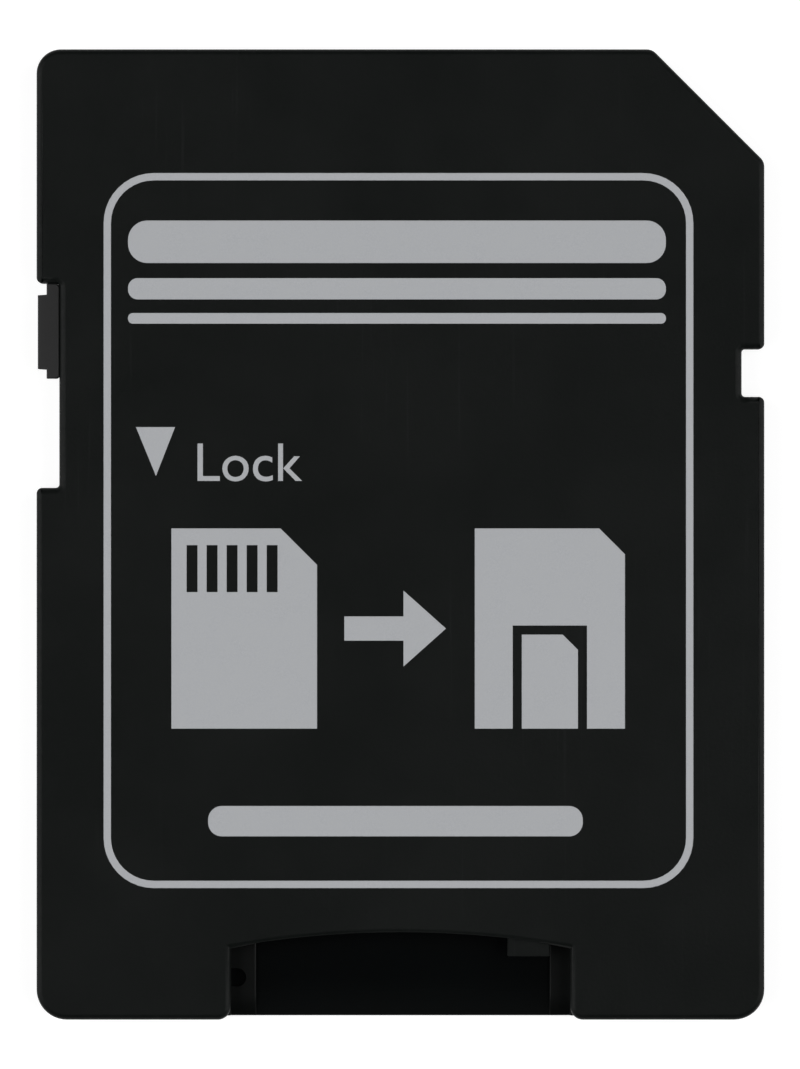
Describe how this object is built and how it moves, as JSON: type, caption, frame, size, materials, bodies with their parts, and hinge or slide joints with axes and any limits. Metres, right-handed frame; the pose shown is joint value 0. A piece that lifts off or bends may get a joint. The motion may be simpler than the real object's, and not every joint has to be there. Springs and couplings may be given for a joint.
{
  "type": "memory card adapter",
  "caption": "Flat black adapter shell in the full-size memory card shape, with a rear slot for a small card, sprung contacts and a sliding write-protect switch.",
  "frame": {"origin": "centre of the card's outline on its back (contact side) face, which lies on the table", "axes": "+X to the right seen from the label side, +Y towards the contact end with the cut corner, +Z out of the label face"},
  "size_m": [0.024, 0.032, 0.0021],
  "materials": {
    "shell_plastic": "fine textured black ABS",
    "slider_plastic": "satin dark grey moulding",
    "carrier_plastic": "smooth black insulator",
    "contact_gold": "gold-plated stamped strip",
    "spring_steel": "bright rolled strip",
    "label_ink": "silver-grey screen print"
  },
  "bodies": {
    "case": {"front_cover": "shell_plastic", "back_cover": "shell_plastic", "contact_carrier": "carrier_plastic", "card_spring": "spring_steel", "contact_1": "contact_gold", "contact_2": "contact_gold", "contact_3": "contact_gold", "contact_4": "contact_gold", "contact_5": "contact_gold", "contact_6": "contact_gold", "contact_7": "contact_gold", "contact_8": "contact_gold", "contact_9": "contact_gold"},
    "slider": {"lock_slider": "slider_plastic"}
  },
  "joints": [
    {"name": "lock_slide", "type": "slide", "parent": "case", "child": "slider", "axis": [0, -1, 0], "range_m": [0, 0.0036]}
  ]
}
